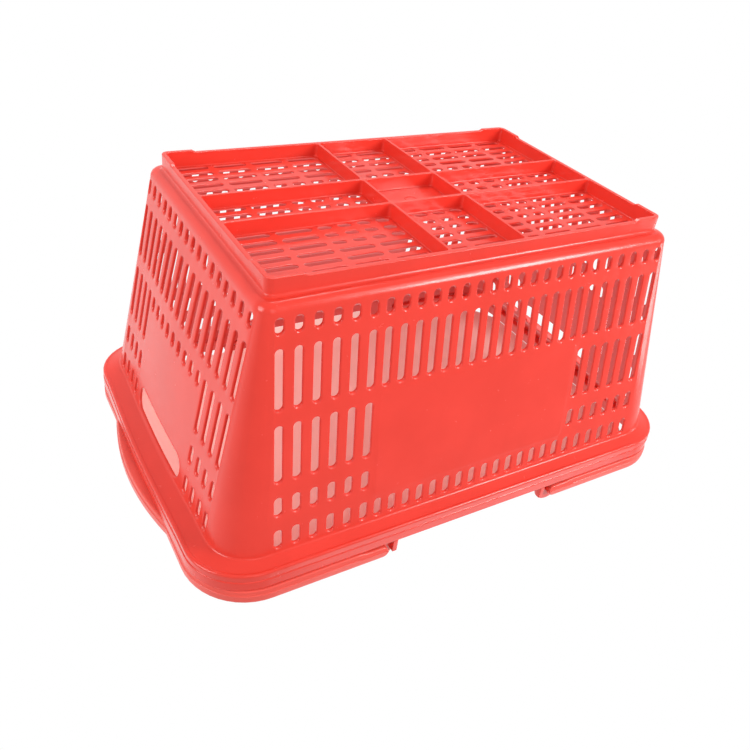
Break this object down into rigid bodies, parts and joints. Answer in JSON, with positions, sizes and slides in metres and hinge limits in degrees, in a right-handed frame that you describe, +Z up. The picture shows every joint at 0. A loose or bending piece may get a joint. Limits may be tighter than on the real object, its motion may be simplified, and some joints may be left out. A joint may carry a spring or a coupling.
{
  "type": "slotted hand basket",
  "caption": "Open-topped hand-carry basket with slotted tapering walls and floor, a flanged rim, hand holes in the ends and bail handles that fold down onto the rim.",
  "frame": {"origin": "middle of the footprint, level with the undersides of the feet", "axes": "+X along the length towards the right handle's end, +Y towards the front long wall, +Z up out of the open mouth"},
  "size_m": [0.4708, 0.3116, 0.2364],
  "materials": {
    "tub": "glossy moulded polypropylene, red",
    "handle": "glossy moulded polypropylene, red"
  },
  "bodies": {
    "basket": {"floor_plate": "tub", "floor_ribs": "tub", "foot_rail_back": "tub", "foot_rail_front": "tub", "foot_rail_left": "tub", "foot_rail_right": "tub", "wall_back": "tub", "wall_front": "tub", "wall_left": "tub", "wall_right": "tub", "wall_left_back_post": "tub", "wall_left_front_post": "tub", "wall_right_back_post": "tub", "wall_right_front_post": "tub", "corner_back_left": "tub", "corner_back_right": "tub", "corner_front_left": "tub", "corner_front_right": "tub", "rim_back": "tub", "rim_front": "tub", "rim_left": "tub", "rim_right": "tub", "rim_corner_back_left": "tub", "rim_corner_back_right": "tub", "rim_corner_front_left": "tub", "rim_corner_front_right": "tub", "hinge_ear_back_left": "tub", "hinge_ear_back_right": "tub", "hinge_ear_front_left": "tub", "hinge_ear_front_right": "tub"},
    "left_handle": {"handle_left": "handle"},
    "right_handle": {"handle_right": "handle"}
  },
  "joints": [
    {"name": "left_handle_hinge", "type": "hinge", "parent": "basket", "child": "left_handle", "pos_m": [-0.0855, 0, 0.2226], "axis": [0, 1, 0], "range_deg": [0, 122]},
    {"name": "right_handle_hinge", "type": "hinge", "parent": "basket", "child": "right_handle", "pos_m": [0.0855, 0, 0.2226], "axis": [0, -1, 0], "range_deg": [0, 122]}
  ]
}
